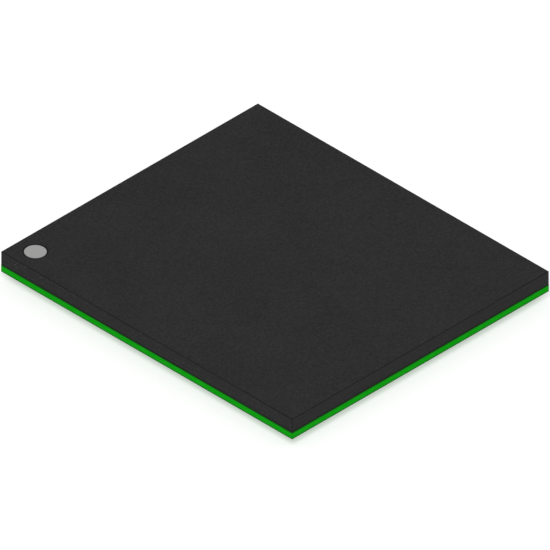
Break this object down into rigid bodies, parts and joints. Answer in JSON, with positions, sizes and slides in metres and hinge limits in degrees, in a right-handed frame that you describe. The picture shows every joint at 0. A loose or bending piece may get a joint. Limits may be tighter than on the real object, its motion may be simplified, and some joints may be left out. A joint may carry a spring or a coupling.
{
  "type": "memory chip",
  "caption": "Thin rectangular memory chip with a black moulded cap flush on a green laminate board, a grey pin one dot, and a grid of solder balls underneath for surface mounting",
  "frame": {"origin": "the middle of the footprint, on the plane on which the solder balls stand", "axes": "+Z out of the top of the cap; +Y along the longer side towards the first ball row; +X towards the last ball column, so the pin one corner is at -X, +Y"},
  "size_m": [0.015, 0.017, 0.0014],
  "materials": {
    "moulding_compound": "matte black silica-filled epoxy, sawn on its sides",
    "marking_ink": "matte light grey marking ink",
    "silicon": "polished silicon",
    "adhesive_film": "cured adhesive film",
    "gold_wire": "drawn gold wire",
    "solder_mask": "green lacquer, half gloss",
    "laminate": "green glass-fibre laminate, sawn edge",
    "copper": "etched copper",
    "solder": "satin tin-silver-copper solder"
  },
  "bodies": {
    "root": {"mould_cap": "moulding_compound", "pin_one_mark": "marking_ink", "memory_die": "silicon", "die_attach_film": "adhesive_film", "left_bond_wires": "gold_wire", "right_bond_wires": "gold_wire", "upper_solder_mask": "solder_mask", "upper_copper": "copper", "substrate_core": "laminate", "filled_vias": "copper", "lower_copper": "copper", "lower_solder_mask": "solder_mask", "solder_balls": "solder"}
  },
  "joints": []
}
